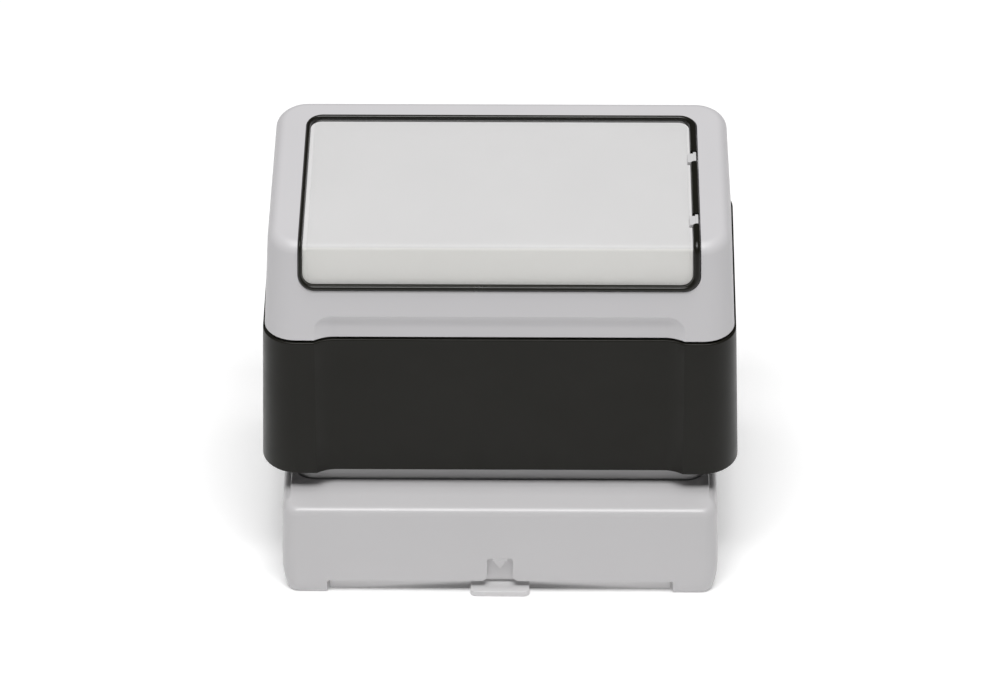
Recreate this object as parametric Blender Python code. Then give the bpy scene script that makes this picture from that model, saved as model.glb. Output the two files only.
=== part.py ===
"""Pre-inked hand stamp standing in its cap.

World frame: metres, +Z up, the cap stands on z = 0, the front faces -Y, +X is to the right.
All driving dimensions below are in millimetres.
"""
import math

import bmesh
import bpy
from mathutils import Matrix, Vector

MM = 0.001
GAP = 0.3

# cap
CAP_X, CAP_Y, CAP_R = 33.9, 26.0, 2.4
CROWN_R = 1.2
LEDGE_Z, LEDGE_DROP = 17.4, 1.2
CAP_WALL = 1.5
CAP_SILL_Z = 2.4
FOOT = 6.8
BASE_SET_BACK = 1.1
BASE_TOP = CAP_SILL_Z - GAP
REST_RIM_Z = 4.5
TAB_HALF, TAB_THICK, TAB_REACH = 4.65, 1.0, 0.95
NOTCH_HALF, NOTCH_TOP, NOTCH_DEPTH = 2.0, 6.9, 0.6

# skirt
SKIRT_X, SKIRT_Y, SKIRT_R, SKIRT_WALL = 32.0, 19.2, 3.2, 1.2
SKIRT_Z0 = REST_RIM_Z + GAP
SKIRT_Z1 = 35.2
SKIRT_DECK = (17.6, 19.4)

# black grip body
GRIP_Z0, GRIP_Z1 = 20.2, 44.84
GRIP_TOP_X, GRIP_TOP_Y, GRIP_TOP_R = 36.5, 21.35, 5.1
GRIP_LOW_X, GRIP_LOW_Y, GRIP_LOW_R = 37.1, 22.0, 5.8
GRIP_IN_X, GRIP_IN_Y, GRIP_IN_R = 34.7, 19.5, 3.4
GRIP_DECK = (38.2, 40.2)
PRESS_TRAVEL = 2.5

# set-back front panel, which ends in a step just above the parting line
PANEL_HALF_IN, PANEL_HALF_OUT, PANEL_DEPTH = 25.4, 28.5, 1.05
RECESS_TOP, RECESS_HEAD = 3.9, 2.3
FRONT_STEPS = 6

# grey top cover
COVER_LIP = 0.3
COVER_TOP_Z, COVER_BACK_Y = 62.2, 20.0
TOP_TILT = math.radians(3.0)
BEND_Y = -17.0
EDGE_R = 1.6
COVER_WALL = 2.0
TONGUE_DROP = 3.0

# label panel, laid out flat: x across, s from the back edge of the frame to the front
FRAME_HALF, FRAME_BACK_Y, FRAME_LENGTH = 30.62, 15.9, 40.0
FRAME_WIDE, FRAME_R, FRAME_RISE = 0.8, 2.6, 0.4
FRAME_LEFT, FRAME_RIGHT = 0.75, 1.3
FRAME_TAPER = 0.00032
POCKET_DEPTH = 1.3
FOOT_H, GAP_FLOOR_H = -1.05, -0.88
LABEL_H = (-1.0, -0.58)
SHEET_H = (-0.28, 0.04)
TAB_S = (10.5, 26.3)
STRAP_HALF = 1.25
HINGE_ROOM = 0.7
HINGE_X, BARREL_R, HINGE_H = 30.05, 0.4, -0.2

# printing stack
DIE_X, DIE_Y = 28.8, 16.6
DIE_Z0 = SKIRT_Z0 + PRESS_TRAVEL
HOLDER_X, HOLDER_Y = 30.5, 17.7
HOLDER_PLATE = (15.2, 17.3)
COLUMN_AT, COLUMN_R = (13.0, 10.0), 2.6
SCREW_R, SCREW_HEAD_R = 1.0, 2.4
SPRING_AT, SPRING_R, WIRE_R, SPRING_TURNS = (23.5, 11.0), 2.7, 0.4, 6.5
PIN_R = 1.5

for old in list(bpy.data.objects):
    bpy.data.objects.remove(old, do_unlink=True)

scene = bpy.context.scene
parts = bpy.data.collections.new("pre_inked_stamp")
tools = bpy.data.collections.new("cutters")
scene.collection.children.link(parts)
scene.collection.children.link(tools)


def material(name, color, roughness, transmission=0.0, metallic=0.0):
    mat = bpy.data.materials.new(name)
    mat.use_nodes = True
    shader = mat.node_tree.nodes["Principled BSDF"]
    shader.inputs["Base Color"].default_value = (*color, 1.0)
    shader.inputs["Roughness"].default_value = roughness
    shader.inputs["Transmission Weight"].default_value = transmission
    shader.inputs["Metallic"].default_value = metallic
    return mat


GREY = (0.64, 0.63, 0.64)
BLACK = (0.02, 0.02, 0.018)
STEEL = (0.6, 0.6, 0.62)


def add_object(name, bm, color, roughness=0.45, smooth=35.0, **extra):
    """Finish a mesh drawn in millimetres as one named part."""
    bmesh.ops.remove_doubles(bm, verts=bm.verts, dist=0.001)
    bmesh.ops.recalc_face_normals(bm, faces=bm.faces)
    bmesh.ops.scale(bm, vec=(MM, MM, MM), verts=bm.verts)
    mesh = bpy.data.meshes.new(name)
    bm.to_mesh(mesh)
    bm.free()
    obj = bpy.data.objects.new(name, mesh)
    parts.objects.link(obj)
    mesh.materials.append(material(name + "_finish", color, roughness, **extra))
    mesh.shade_smooth()
    mesh.set_sharp_from_angle(angle=math.radians(smooth))
    return obj


def boolean(target, bm, operation="DIFFERENCE"):
    """Cut or join target with a helper mesh drawn in millimetres."""
    bmesh.ops.remove_doubles(bm, verts=bm.verts, dist=0.001)
    bmesh.ops.recalc_face_normals(bm, faces=bm.faces)
    bmesh.ops.scale(bm, vec=(MM, MM, MM), verts=bm.verts)
    mesh = bpy.data.meshes.new("helper_mesh")
    bm.to_mesh(mesh)
    bm.free()
    helper = bpy.data.objects.new(f"{target.name}_{operation.lower()}_{len(tools.objects)}", mesh)
    helper.hide_render = True
    helper.display_type = "WIRE"
    tools.objects.link(helper)
    step = target.modifiers.new(operation.title(), "BOOLEAN")
    step.operation = operation
    step.solver = "EXACT"
    step.object = helper
    return helper


def rounded(x0, x1, y0, y1, r, n=6):
    """Counter-clockwise outline of a rectangle with rounded corners."""
    points = []
    corners = ((x1 - r, y1 - r, 0), (x0 + r, y1 - r, 90), (x0 + r, y0 + r, 180), (x1 - r, y0 + r, 270))
    for cx, cy, start in corners:
        for i in range(n + 1):
            a = math.radians(start + 90 * i / n)
            points.append((cx + r * math.cos(a), cy + r * math.sin(a)))
    return points


def sized(half_x, half_y, r, n=6):
    return rounded(-half_x, half_x, -half_y, half_y, r, n)


def circle(cx, cy, r, n=20):
    return [(cx + r * math.cos(2 * math.pi * i / n), cy + r * math.sin(2 * math.pi * i / n)) for i in range(n)]


def chain(levels, closed=False, bm=None):
    """Skin a chain of equal outlines [(z, outline), ...]; a point may carry its own height.

    Closed joins the last outline to the first.
    """
    bm = bm or bmesh.new()
    rings = [[bm.verts.new((p[0], p[1], p[2] if len(p) > 2 else z)) for p in outline] for z, outline in levels]
    pairs = list(zip(rings, rings[1:]))
    if closed:
        pairs.append((rings[-1], rings[0]))
    for low, high in pairs:
        for i in range(len(low)):
            j = (i + 1) % len(low)
            bm.faces.new((low[i], low[j], high[j], high[i]))
    if not closed:
        bm.faces.new(list(reversed(rings[0])))
        bm.faces.new(rings[-1])
    return bm


def block(x0, x1, y0, y1, z0, z1, bm=None):
    outline = [(x1, y1), (x0, y1), (x0, y0), (x1, y0)]
    return chain([(z0, outline), (z1, outline)], bm=bm)


def rod(cx, cy, r, z0, z1, n=20, bm=None):
    return chain([(z0, circle(cx, cy, r, n)), (z1, circle(cx, cy, r, n))], bm=bm)


def at_four(spot):
    return [(sx * spot[0], sy * spot[1]) for sy in (-1, 1) for sx in (-1, 1)]


def fillet(z, r, n, top):
    """(height, inset) pairs of a quarter-round edge of radius r that starts or ends at height z."""
    steps = []
    for i in range(n + 1):
        a = math.pi / 2 * i / n
        if top:
            steps.append((z - r + r * math.sin(a), r - r * math.cos(a)))
        else:
            steps.append((z + r - r * math.cos(a), r - r * math.sin(a)))
    return steps


def smoothstep(t):
    t = min(max(t, 0.0), 1.0)
    return t * t * (3 - 2 * t)


def fronted(x0, x1, y0, y1, r, depth_at, n=6):
    """Rounded outline whose front (y0) side is set back by depth_at(|x|)."""
    points = []
    for cx, cy, start in ((x1 - r, y1 - r, 0), (x0 + r, y1 - r, 90), (x0 + r, y0 + r, 180)):
        for i in range(n + 1):
            a = math.radians(start + 90 * i / n)
            points.append((cx + r * math.cos(a), cy + r * math.sin(a)))
    for side in (-1, 1):
        for i in range(FRONT_STEPS + 1):
            t = i / FRONT_STEPS if side < 0 else 1 - i / FRONT_STEPS
            x = PANEL_HALF_OUT + 0.02 - (PANEL_HALF_OUT + 0.02 - PANEL_HALF_IN) * t ** 1.3
            points.append((side * x, y0 + depth_at(x)))
    for i in range(n + 1):
        a = math.radians(270 + 90 * i / n)
        points.append((x1 - r + r * math.cos(a), y0 + r + r * math.sin(a)))
    return points


def set_back(x, rise=-9.0):
    """Depth of the front panel at |x| and at a height above the parting line."""
    side = min(max((PANEL_HALF_OUT - x) / (PANEL_HALF_OUT - PANEL_HALF_IN), 0.0), 1.0)
    head = min(max((RECESS_TOP - rise) / RECESS_HEAD, 0.0), 1.0)
    near = 1 - math.hypot(1 - side, 1 - head)
    if near <= 0:
        return 0.0
    return PANEL_DEPTH * (1 - (1 - near) ** 2.0)


def plain(half_x, half_y, r):
    """Rounded outline with as many points as one with a front panel."""
    return fronted(-half_x, half_x, -half_y, half_y, r, lambda x: 0.0)


def round_edges(bm, chosen, width, segments):
    edges = [e for e in bm.edges if chosen(e)]
    bmesh.ops.bevel(bm, geom=edges, offset=width, segments=segments, profile=0.5, affect="EDGES",
                    clamp_overlap=True)


# ---------------------------------------------------------------- cap shell
in_x, in_y = CAP_X - CAP_WALL, CAP_Y - CAP_WALL
well = (SKIRT_X + GAP, SKIRT_Y + GAP, SKIRT_R + GAP)


def grown(dx, dy, r):
    """Cap outline moved out by dx at the ends and dy at the front and back."""
    return sized(CAP_X + dx, CAP_Y + dy, r)


def on_ledge(z, outline):
    """Outline at the ledge, which falls away towards its front and back edges."""
    run = CAP_Y - 0.8 - well[1]
    return (z, [(x, y, z - LEDGE_DROP * smoothstep((abs(y) - well[1]) / run)) for x, y in outline])


levels = [(0.0, grown(-1.05, -0.6, 1.6)), (0.35, grown(-0.6, -0.2, 1.8)), (1.6, grown(-0.15, -0.03, 2.2)),
          (4.5, grown(0.2, 0.08, 2.5)), (7.0, grown(0.2, 0.12, 2.5)), (12.5, grown(0.03, 0.05, 2.4))]
for z, inset in fillet(LEDGE_Z - 0.05, CROWN_R, 4, True):
    levels.append(on_ledge(z, sized(CAP_X - inset, CAP_Y - inset, CAP_R - 0.4 * inset)))
for t in (0.75, 0.5, 0.25):
    levels.append(on_ledge(LEDGE_Z - 0.05 * t, sized(well[0] + (CAP_X - CROWN_R - well[0]) * t,
                                                     well[1] + (CAP_Y - CROWN_R - well[1]) * t,
                                                     well[2] + (1.9 - well[2]) * t)))
ledge_under = LEDGE_Z - LEDGE_DROP - CAP_WALL
levels += [(LEDGE_Z, sized(*well)), (ledge_under, sized(*well)), (ledge_under, sized(in_x, in_y, 1.4)),
           (0.0, sized(in_x, in_y, 1.4))]
cap_shell = add_object("cap_shell", chain(levels, closed=True), GREY)
feet = bmesh.new()
for sx, sy in at_four((1, 1)):
    xs = sorted((sx * (CAP_X - 1.4), sx * (CAP_X - FOOT + GAP)))
    ys = sorted((sy * (CAP_Y - 1.35), sy * (CAP_Y - FOOT + GAP)))
    block(xs[0], xs[1], ys[0], ys[1], 0.0, CAP_SILL_Z + 1.0, bm=feet)
boolean(cap_shell, feet, "UNION")
span_x, span_y = CAP_X - FOOT, CAP_Y - FOOT
boolean(cap_shell, block(-span_x, span_x, -CAP_Y - 4, CAP_Y + 4, -3.0, CAP_SILL_Z))
boolean(cap_shell, block(-CAP_X - 4, CAP_X + 4, -span_y, span_y, -3.0, CAP_SILL_Z - 0.001))
half_notch = [(NOTCH_HALF + 0.7, CAP_SILL_Z - 1), (NOTCH_HALF + 0.7, CAP_SILL_Z),
              (NOTCH_HALF, CAP_SILL_Z + 0.9), (NOTCH_HALF, NOTCH_TOP - 0.3), (NOTCH_HALF - 0.3, NOTCH_TOP)]
flare = half_notch + [(-x, z) for x, z in reversed(half_notch)]
bm = bmesh.new()
notch = [[bm.verts.new((x, y, z)) for x, z in flare] for y in (-CAP_Y - 2.0, -CAP_Y + NOTCH_DEPTH)]
for i in range(len(flare)):
    j = (i + 1) % len(flare)
    bm.faces.new((notch[0][i], notch[0][j], notch[1][j], notch[1][i]))
bm.faces.new(notch[0])
bm.faces.new(notch[1])
boolean(cap_shell, bm)
# pointer: a small wedge, proud at its top edge, that runs down to a tip on the notch floor
floor_y = -CAP_Y + NOTCH_DEPTH + 0.1
bm = bmesh.new()
sections = []
for half, y, z in ((1.15, -CAP_Y - 0.08, NOTCH_TOP + 0.12), (1.15, -CAP_Y - 0.28, NOTCH_TOP - 0.22),
                   (0.98, -CAP_Y - 0.2, NOTCH_TOP - 0.45), (0.05, -CAP_Y + 0.45, NOTCH_TOP - 2.35)):
    corners = ((-half, y), (half, y), (half + 0.12, floor_y), (-half - 0.12, floor_y))
    sections.append((z, corners))
boolean(cap_shell, chain(sections), "UNION")

# ---------------------------------------------------------------- cap base plate
base_y = CAP_Y - BASE_SET_BACK
base_x = CAP_X - BASE_SET_BACK
cut = FOOT + GAP
outline = [(base_x, CAP_Y - cut), (CAP_X - cut, CAP_Y - cut), (CAP_X - cut, base_y),
           (-CAP_X + cut, base_y), (-CAP_X + cut, CAP_Y - cut), (-base_x, CAP_Y - cut),
           (-base_x, -CAP_Y + cut), (-CAP_X + cut, -CAP_Y + cut), (-CAP_X + cut, -base_y),
           (CAP_X - cut, -base_y), (CAP_X - cut, -CAP_Y + cut), (base_x, -CAP_Y + cut)]
cap_base = add_object("cap_base", chain([(0.0, outline), (BASE_TOP, outline)]), GREY)
rim = chain([
    (BASE_TOP - 0.5, sized(SKIRT_X, SKIRT_Y, SKIRT_R)),
    (REST_RIM_Z, sized(SKIRT_X, SKIRT_Y, SKIRT_R)),
    (REST_RIM_Z, sized(SKIRT_X - 2.2, SKIRT_Y - 2.2, 1.4)),
    (BASE_TOP - 0.5, sized(SKIRT_X - 2.2, SKIRT_Y - 2.2, 1.4)),
], closed=True)
boolean(cap_base, rim, "UNION")
ramp = bmesh.new()
block(-TAB_HALF + 0.08, TAB_HALF - 0.08, -base_y - 1.15, -base_y + 0.3, 0.3, BASE_TOP, bm=ramp)
for v in ramp.verts:
    if v.co.y < -base_y - 1.0 and v.co.z > 1.0:
        v.co.z = TAB_THICK - 0.06
boolean(cap_base, ramp, "UNION")
tab_front = -CAP_Y - TAB_REACH
tab_outline = [(TAB_HALF, -base_y + 1.0), (-TAB_HALF, -base_y + 1.0), (-TAB_HALF, tab_front + 0.8),
               (-TAB_HALF + 0.25, tab_front + 0.25), (-TAB_HALF + 0.8, tab_front),
               (TAB_HALF - 0.8, tab_front), (TAB_HALF - 0.25, tab_front + 0.25), (TAB_HALF, tab_front + 0.8)]
boolean(cap_base, chain([(0.0, tab_outline), (TAB_THICK, tab_outline)]), "UNION")

# ---------------------------------------------------------------- skirt
skirt_out = sized(SKIRT_X, SKIRT_Y, SKIRT_R)
skirt_in = sized(SKIRT_X - SKIRT_WALL, SKIRT_Y - SKIRT_WALL, SKIRT_R - SKIRT_WALL)
bm = chain([
    (SKIRT_DECK[0], skirt_in), (SKIRT_Z0, skirt_in), (SKIRT_Z0, skirt_out),
    (SKIRT_Z1, skirt_out), (SKIRT_Z1, skirt_in), (SKIRT_DECK[1], skirt_in),
])
skirt = add_object("skirt", bm, GREY)
holes = bmesh.new()
for x, y in at_four(COLUMN_AT):
    rod(x, y, COLUMN_R + GAP, SKIRT_DECK[0] - 1, SKIRT_DECK[1] + 1, bm=holes)
boolean(skirt, holes)
seats = bmesh.new()
for x, y in at_four(SPRING_AT):
    ring_out = circle(x, y, SPRING_R + WIRE_R + 1.1)
    ring_in = circle(x, y, SPRING_R + WIRE_R + GAP)
    chain([(SKIRT_DECK[1] - 0.4, ring_out), (SKIRT_DECK[1] + 1.6, ring_out),
           (SKIRT_DECK[1] + 1.6, ring_in), (SKIRT_DECK[1] - 0.4, ring_in)], closed=True, bm=seats)
boolean(skirt, seats, "UNION")

# ---------------------------------------------------------------- black grip body
def grip_outline(t, inset):
    """Outside of the black body at fraction t of its height."""
    half_x = GRIP_LOW_X + (GRIP_TOP_X - GRIP_LOW_X) * t - inset
    half_y = GRIP_LOW_Y + (GRIP_TOP_Y - GRIP_LOW_Y) * t - inset
    r = GRIP_LOW_R + (GRIP_TOP_R - GRIP_LOW_R) * t - inset
    return fronted(-half_x, half_x, -half_y, half_y, r, set_back)


grip_in = plain(GRIP_IN_X, GRIP_IN_Y, GRIP_IN_R)
levels = [(GRIP_DECK[0], grip_in), (GRIP_Z0 + 0.2, plain(GRIP_IN_X + 0.2, GRIP_IN_Y + 0.1, GRIP_IN_R)),
          (GRIP_Z0, plain(GRIP_IN_X + 0.4, GRIP_IN_Y + 0.3, GRIP_IN_R))]
levels += [(z, grip_outline(0.0, inset)) for z, inset in fillet(GRIP_Z0, 0.45, 3, False)]
levels += [(z, grip_outline(1.0, inset)) for z, inset in fillet(GRIP_Z1, 0.22, 2, True)]
levels += [(GRIP_Z1, grip_in), (GRIP_DECK[1], grip_in)]
grip_body = add_object("grip_body", chain(levels), BLACK, 0.4)
pins = bmesh.new()
for x, y in at_four(SPRING_AT):
    rod(x, y, PIN_R, GRIP_DECK[0] - 9.0, GRIP_DECK[0] + 0.5, bm=pins)
boolean(grip_body, pins, "UNION")
holes = bmesh.new()
for x, y in at_four(COLUMN_AT):
    rod(x, y, SCREW_R + GAP, GRIP_DECK[0] - 1, GRIP_DECK[1] + 1, bm=holes)
boolean(grip_body, holes)

# ---------------------------------------------------------------- grey top cover
cover_z0 = GRIP_Z1 + 0.3
cover_x, cover_y = GRIP_TOP_X - COVER_LIP, GRIP_TOP_Y - COVER_LIP
bend_z = COVER_TOP_Z - (COVER_BACK_Y - BEND_Y) * math.tan(TOP_TILT)
front_lean = (BEND_Y + cover_y) / (bend_z - cover_z0)
front_angle = math.atan(front_lean)
side_lean = math.tan(math.radians(2.4))
back_lean = (cover_y - COVER_BACK_Y) / (COVER_TOP_Z - cover_z0)


def cover_outline(z, inset=0.0, r=4.9):
    """Outside of the cover at a height; it narrows a little towards the back."""
    rise = z - cover_z0
    half = cover_x - side_lean * rise - inset
    front = -cover_y + front_lean * rise + inset
    rear = cover_y - back_lean * rise - inset
    points = fronted(-half, half, front, rear, r, lambda x: set_back(x, rise))
    narrow = 0.00027 * max(rise, 0.0) / 17.0
    return [(x * (1 - narrow * (y + 20)), y) for x, y in points]


def slice_top(bm, drop):
    """Cut a mesh off at the slanted top plane, drop below the outer surface."""
    point = Vector((0.0, BEND_Y, bend_z - drop))
    normal = Vector((0.0, -math.sin(TOP_TILT), math.cos(TOP_TILT)))
    bmesh.ops.remove_doubles(bm, verts=bm.verts, dist=0.001)
    cut_geom = bmesh.ops.bisect_plane(bm, geom=bm.verts[:] + bm.edges[:] + bm.faces[:], plane_co=point,
                                      plane_no=normal, clear_outer=True, dist=0.0001)["geom_cut"]
    bmesh.ops.holes_fill(bm, edges=[g for g in cut_geom if isinstance(g, bmesh.types.BMEdge)], sides=0)
    return bm


tongue_z = cover_z0 - TONGUE_DROP
tongue = plain(GRIP_IN_X - GAP, GRIP_IN_Y - GAP, GRIP_IN_R - GAP)
levels = [(tongue_z, tongue), (cover_z0, tongue)]
levels += [(z, cover_outline(cover_z0, inset)) for z, inset in fillet(cover_z0, 0.15, 1, False)]
for i in range(7):
    rise = RECESS_TOP - RECESS_HEAD * (1 - i / 6) ** 1.5
    levels.append((cover_z0 + rise, cover_outline(cover_z0 + rise)))
levels.append((COVER_TOP_Z + 4, cover_outline(COVER_TOP_Z + 4)))
bm = chain(levels)
slice_top(bm, 0.0)


def on_top_rim(edge):
    faces = edge.link_faces
    tops = [f for f in faces if f.normal.z > 0.99 and f.calc_center_median().z > cover_z0 + 5]
    return len(tops) == 1


bmesh.ops.recalc_face_normals(bm, faces=bm.faces)
round_edges(bm, on_top_rim, EDGE_R, 4)
top_cover = add_object("top_cover", bm, GREY, smooth=25.0)
bm = chain([(tongue_z - 2, sized(GRIP_IN_X - 1.6, GRIP_IN_Y - 1.6, GRIP_IN_R - 1.4)),
            (cover_z0 + 0.8, sized(GRIP_IN_X - 1.6, GRIP_IN_Y - 1.6, GRIP_IN_R - 1.4)),
            (COVER_TOP_Z + 4, rounded(-cover_x + 4.2, cover_x - 4.2, BEND_Y + 4, COVER_BACK_Y - 3.2, 2.4))])
slice_top(bm, COVER_WALL + POCKET_DEPTH)
boolean(top_cover, bm)

# ---------------------------------------------------------------- label panel surface
turn = math.pi / 2 - TOP_TILT - front_angle
flat_end = (FRAME_BACK_Y - BEND_Y) / math.cos(TOP_TILT) - EDGE_R * math.tan(turn / 2)
arc_end = flat_end + EDGE_R * turn


def panel_point(x, s, h):
    """Point on the label panel: x across, s along the panel from its back, h above the surface."""
    x = x * (1 + FRAME_TAPER * (s - 20))
    back_z = COVER_TOP_Z - (COVER_BACK_Y - FRAME_BACK_Y) * math.tan(TOP_TILT)
    along = min(s, flat_end)
    y = FRAME_BACK_Y - along * math.cos(TOP_TILT)
    z = back_z - along * math.sin(TOP_TILT)
    up = TOP_TILT
    if s > flat_end:
        a = min(s, arc_end) - flat_end
        bend = a / EDGE_R
        cy = y + EDGE_R * math.sin(TOP_TILT)
        cz = z - EDGE_R * math.cos(TOP_TILT)
        up = TOP_TILT + bend
        y = cy - EDGE_R * math.sin(up)
        z = cz + EDGE_R * math.cos(up)
    if s > arc_end:
        y -= (s - arc_end) * math.cos(up)
        z -= (s - arc_end) * math.sin(up)
    return (x, y - h * math.sin(up), z + h * math.cos(up))


def wrap_on_panel(bm):
    """Bend a mesh drawn flat in (x, s, h) onto the panel surface."""
    bmesh.ops.remove_doubles(bm, verts=bm.verts, dist=0.001)
    for i in range(7):
        at = flat_end + (arc_end - flat_end) * i / 6
        bmesh.ops.bisect_plane(bm, geom=bm.verts[:] + bm.edges[:] + bm.faces[:], dist=0.0001,
                               plane_co=(0.0, at, 0.0), plane_no=(0.0, 1.0, 0.0))
    for v in bm.verts:
        v.co = panel_point(*v.co)
    return bm


def panel_outline(inset, r=None):
    """Rounded outline of the panel in (x, s), inset from the outer edge of the frame."""
    r = max(FRAME_R - inset, 0.5) if r is None else r
    left, right = -FRAME_HALF + inset * FRAME_LEFT, FRAME_HALF - inset * FRAME_RIGHT
    return rounded(left, right, inset, FRAME_LENGTH - inset, r, 5)


POCKET = panel_outline(-0.12)
boolean(top_cover, wrap_on_panel(chain([(-POCKET_DEPTH, POCKET), (2.5, POCKET)])))

profile = [(0.0, FOOT_H), (0.0, 0.1), (0.1, 0.28), (0.3, FRAME_RISE), (FRAME_WIDE - 0.3, FRAME_RISE),
           (FRAME_WIDE - 0.1, 0.28), (FRAME_WIDE, 0.1), (FRAME_WIDE, FOOT_H)]
bm = chain([(h, panel_outline(i)) for i, h in profile], closed=True)
label_frame = add_object("label_frame", wrap_on_panel(bm), BLACK, 0.3)
slots = bmesh.new()
for s in TAB_S:
    low, high = s - STRAP_HALF - 0.2, s + STRAP_HALF + 0.2
    block(FRAME_HALF - 2.0, FRAME_HALF + 1, low, high, GAP_FLOOR_H, 2.0, bm=slots)
boolean(label_frame, wrap_on_panel(slots))

sheet = panel_outline(FRAME_WIDE + GAP)
bm = chain([(LABEL_H[0], sheet), (LABEL_H[1], sheet)])
add_object("id_label", wrap_on_panel(bm), (0.85, 0.85, 0.84), 0.7)

# clear cover: bent sheet, two straps, hinge barrels; its origin lies on the hinge axis
left, right = -FRAME_HALF + FRAME_WIDE + 0.5, FRAME_HALF - FRAME_WIDE - HINGE_ROOM
outline = rounded(left, right, FRAME_WIDE + GAP, FRAME_LENGTH - FRAME_WIDE - GAP, 1.3, 4)
bm = wrap_on_panel(chain([(SHEET_H[0], outline), (SHEET_H[1], outline)]))
label_cover = add_object("label_cover", bm, (0.9, 0.9, 0.9), 0.1, transmission=0.9)
for s in TAB_S:
    bm = block(right - 1.5, HINGE_X, s - STRAP_HALF, s + STRAP_HALF, SHEET_H[0] + 0.01, SHEET_H[1] - 0.01)
    boolean(label_cover, wrap_on_panel(bm), "UNION")
    ends = [Vector(panel_point(HINGE_X, s + d, HINGE_H)) for d in (-STRAP_HALF, STRAP_HALF)]
    axis = ends[1] - ends[0]
    bm = bmesh.new()
    bmesh.ops.create_cone(bm, cap_ends=True, segments=14, radius1=BARREL_R, radius2=BARREL_R, depth=axis.length,
                          matrix=Matrix.Translation((ends[0] + ends[1]) / 2)
                          @ axis.to_track_quat("Z", "Y").to_matrix().to_4x4())
    boolean(label_cover, bm, "UNION")

# ---------------------------------------------------------------- printing stack
face_x, face_y = DIE_X - 1.1, DIE_Y - 1.1
flange_z = DIE_Z0 + 1.5
die_top = flange_z + 1.5
add_object("die", chain([
    (DIE_Z0, sized(face_x, face_y, 0.8, 3)), (flange_z, sized(face_x, face_y, 0.8, 3)),
    (flange_z, sized(DIE_X, DIE_Y, 1.0, 3)), (die_top, sized(DIE_X, DIE_Y, 1.0, 3)),
]), (0.12, 0.1, 0.1), 0.8)
pad_z0, pad_z1 = die_top + GAP, HOLDER_PLATE[0] - GAP
add_object("ink_pad", chain([(pad_z0, sized(DIE_X, DIE_Y, 1.0, 3)), (pad_z1, sized(DIE_X, DIE_Y, 1.0, 3))]),
           (0.05, 0.05, 0.08), 0.9)
wall_in = sized(DIE_X + GAP, DIE_Y + GAP, 1.2, 4)
wall_out = sized(HOLDER_X, HOLDER_Y, 1.8, 4)
lip_in = sized(face_x + GAP, face_y + GAP, 1.0, 4)
add_object("die_frame", chain([
    (DIE_Z0 + 0.4, lip_in), (DIE_Z0 + 0.4, wall_out), (pad_z1, wall_out), (pad_z1, wall_in),
    (flange_z - GAP, wall_in), (flange_z - GAP, lip_in),
], closed=True), BLACK, 0.5)

bm = chain([(HOLDER_PLATE[0], wall_out), (HOLDER_PLATE[1], wall_out)])
die_holder = add_object("die_holder", bm, GREY)
columns = bmesh.new()
column_top = GRIP_DECK[0] - GAP
for x, y in at_four(COLUMN_AT):
    rod(x, y, COLUMN_R, HOLDER_PLATE[1] - 0.6, column_top, bm=columns)
boolean(die_holder, columns, "UNION")
bores = bmesh.new()
for x, y in at_four(COLUMN_AT):
    rod(x, y, SCREW_R + GAP, column_top - 8.0, column_top + 2, 16, bm=bores)
boolean(die_holder, bores)

arm = [(1.4, 0.3), (0.3, 0.3), (0.3, 1.4)]
half_cross = arm + [(-x, y) for x, y in reversed(arm)]
CROSS = half_cross + [(-x, -y) for x, y in half_cross]
for number, (x, y) in enumerate(at_four(COLUMN_AT), 1):
    head_z = GRIP_DECK[1] + GAP
    bm = chain([
        (column_top - 7.0, circle(0, 0, SCREW_R - 0.4, 16)), (column_top - 6.2, circle(0, 0, SCREW_R, 16)),
        (head_z, circle(0, 0, SCREW_R, 16)), (head_z, circle(0, 0, SCREW_HEAD_R, 16)),
        (head_z + 1.0, circle(0, 0, SCREW_HEAD_R, 16)), (head_z + 1.6, circle(0, 0, SCREW_HEAD_R - 0.8, 16)),
    ])
    screw = add_object(f"screw_{number}", bm, STEEL, 0.35, metallic=1.0)
    helper = boolean(screw, chain([(head_z + 0.8, CROSS), (head_z + 3, CROSS)]))
    for obj in (screw, helper):
        obj.location = (x * MM, y * MM, 0.0)

# ---------------------------------------------------------------- press springs
spring_z0, spring_z1 = SKIRT_DECK[1] + GAP, GRIP_DECK[0] - GAP
for number, (x, y) in enumerate(at_four(SPRING_AT), 1):
    curve = bpy.data.curves.new("coil", "CURVE")
    curve.dimensions = "3D"
    curve.bevel_depth = WIRE_R * MM
    curve.bevel_resolution = 1
    curve.use_fill_caps = True
    line = curve.splines.new("POLY")
    steps = int(SPRING_TURNS * 14)
    line.points.add(steps)
    climb = spring_z1 - spring_z0 - 2 * WIRE_R
    for i in range(steps + 1):
        t = i / steps
        a = 2 * math.pi * SPRING_TURNS * t
        lift = min(max((t - 0.09) / 0.82, 0.0), 1.0)
        ends = 0.9 * min(t / 0.09, 1.0) + 0.9 * max((t - 0.91) / 0.09, 0.0)
        z = spring_z0 + WIRE_R + ends + (climb - 1.8) * lift
        line.points[i].co = (SPRING_R * math.cos(a) * MM, SPRING_R * math.sin(a) * MM, z * MM, 1.0)
    coil = bpy.data.objects.new("coil", curve)
    parts.objects.link(coil)
    coil.location = (x * MM, y * MM, 0.0)
    depsgraph = bpy.context.evaluated_depsgraph_get()
    mesh = bpy.data.meshes.new_from_object(coil.evaluated_get(depsgraph))
    bm = bmesh.new()
    bm.from_mesh(mesh)
    bmesh.ops.scale(bm, vec=(1 / MM, 1 / MM, 1 / MM), verts=bm.verts)
    spring = add_object(f"spring_{number}", bm, STEEL, 0.3, metallic=1.0, smooth=60.0)
    spring.matrix_world = coil.matrix_world
    spring.location = coil.location
    bpy.data.objects.remove(coil, do_unlink=True)

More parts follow.
